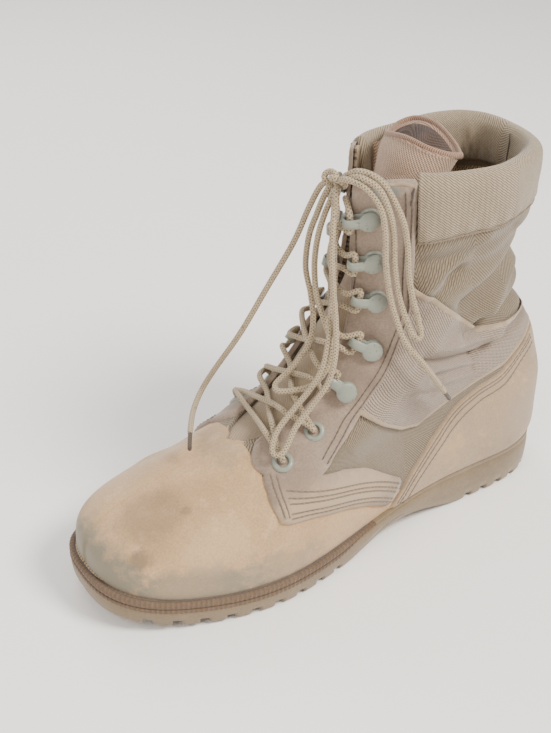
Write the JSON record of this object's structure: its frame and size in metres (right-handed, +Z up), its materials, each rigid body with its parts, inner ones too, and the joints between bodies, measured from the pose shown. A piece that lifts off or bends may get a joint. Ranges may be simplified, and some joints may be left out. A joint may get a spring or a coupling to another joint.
{
  "type": "combat boot",
  "caption": "Worn desert-tan hot-weather combat boot for the left foot, lace hooks, ankle strap, padded collar, lugged rubber sole, loosely tied lace.",
  "frame": {"origin": "middle of the heel's flat spot, on the floor", "axes": "+X to the toe, +Y to the outer side of the left foot, +Z up"},
  "size_m": [0.3092, 0.1073, 0.238],
  "materials": {
    "rubber_sole": "matt, dusty",
    "welt_strip": "stitched, ribbed",
    "footbed": "matt",
    "suede_upper": "rough-out suede, worn",
    "suede_panels": "rough-out suede, stitched",
    "nylon": "woven",
    "tongue_mesh": "mesh with a bound edge",
    "webbing": "herringbone webbing",
    "hook_paint": "satin, chipped",
    "lace_cord": "round braid"
  },
  "bodies": {
    "root": {"outsole": "rubber_sole", "welt": "welt_strip", "insole": "footbed", "upper": "suede_upper", "tongue": "tongue_mesh", "collar": "nylon", "heel_counter": "suede_panels", "quarter_outer": "suede_panels", "quarter_inner": "suede_panels", "ankle_strap": "webbing", "eyelet_outer_1": "hook_paint", "eyelet_outer_2": "hook_paint", "hook_outer_1": "hook_paint", "hook_outer_2": "hook_paint", "hook_outer_3": "hook_paint", "hook_outer_4": "hook_paint", "hook_outer_5": "hook_paint", "eyelet_inner_1": "hook_paint", "eyelet_inner_2": "hook_paint", "hook_inner_1": "hook_paint", "hook_inner_2": "hook_paint", "hook_inner_3": "hook_paint", "hook_inner_4": "hook_paint", "hook_inner_5": "hook_paint", "lace_crossings": "lace_cord", "lace_knot": "lace_cord", "lace_end_1": "lace_cord", "lace_end_2": "lace_cord", "lace_loop_1": "lace_cord", "lace_loop_2": "lace_cord", "lace_loop_3": "lace_cord"}
  },
  "joints": []
}
